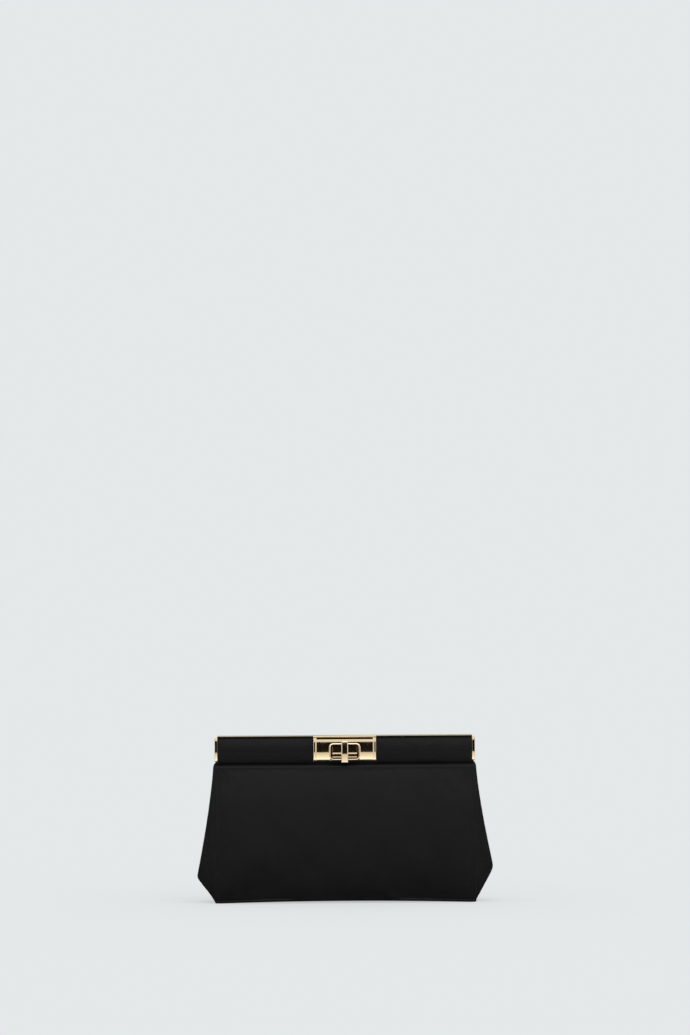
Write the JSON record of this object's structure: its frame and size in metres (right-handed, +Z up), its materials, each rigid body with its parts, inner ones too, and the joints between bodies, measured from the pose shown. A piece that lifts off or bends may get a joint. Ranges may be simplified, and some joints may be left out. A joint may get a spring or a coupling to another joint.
{
  "type": "framed clutch purse",
  "caption": "Framed satin clutch: gold two-part top bar on hidden side hinges, turn-lock in an eyelet, gusseted bag on a flat base.",
  "frame": {"origin": "middle of the base, on the surface that the bag stands on", "axes": "+X to the bag's right as its front is seen, -Y out of the front where the lock is, +Z up to the frame's top bar"},
  "size_m": [0.2292, 0.0504, 0.1285],
  "materials": {
    "gold": "polished light-gold plating",
    "steel": "plain nickel-plated steel",
    "satin": "fine black satin with a soft sheen",
    "lining": "thin black lining cloth",
    "stiffener": "grey-brown bag board"
  },
  "bodies": {
    "bag": {"base_panel": "satin", "base_board": "stiffener", "base_lining": "lining", "front_panel": "satin", "back_panel": "satin", "front_board": "stiffener", "back_board": "stiffener", "front_lining": "lining", "back_lining": "lining", "left_gusset": "satin", "right_gusset": "satin", "left_gusset_lining": "lining", "right_gusset_lining": "lining", "slip_pocket": "lining"},
    "front_frame": {"front_rail": "gold", "front_end_cap_left": "gold", "front_end_cap_right": "gold", "front_arm_left": "steel", "front_arm_right": "steel", "front_inlay_left": "satin", "front_inlay_right": "satin", "front_retainer_left": "steel", "front_retainer_right": "steel", "front_collar": "stiffener", "lock_plate": "gold", "eyelet": "gold", "eyelet_backing": "steel"},
    "back_frame": {"back_rail": "gold", "back_end_cap_left": "gold", "back_end_cap_right": "gold", "back_arm_left": "steel", "back_arm_right": "steel", "back_inlay": "satin", "back_retainer_left": "steel", "back_retainer_right": "steel", "back_collar": "stiffener", "lock_bridge": "steel", "turnlock_base": "gold", "lock_rivet_left": "steel", "lock_rivet_right": "steel", "hinge_pin_left": "steel", "hinge_pin_right": "steel", "hinge_washer_left": "steel", "hinge_washer_right": "steel"},
    "knob": {"turn_knob": "gold", "knob_spindle": "steel", "spindle_clip": "steel"}
  },
  "joints": [
    {"name": "front_open", "type": "hinge", "parent": "bag", "child": "front_frame", "pos_m": [0, 0, 0.0635], "axis": [1, 0, 0], "range_deg": [0, 42], "deforming": ["front_panel", "front_lining", "left_gusset", "right_gusset", "left_gusset_lining", "right_gusset_lining"]},
    {"name": "back_open", "type": "hinge", "parent": "bag", "child": "back_frame", "pos_m": [0, 0, 0.0635], "axis": [1, 0, 0], "range_deg": [-42, 0], "deforming": ["back_panel", "back_lining"]},
    {"name": "knob_turn", "type": "hinge", "parent": "back_frame", "child": "knob", "pos_m": [0, -0.014, 0.116], "axis": [0, -1, 0], "range_deg": [0, 90]}
  ],
  "couplings": [
    {"joint": "back_open", "follows": "front_open", "ratio": -1}
  ]
}
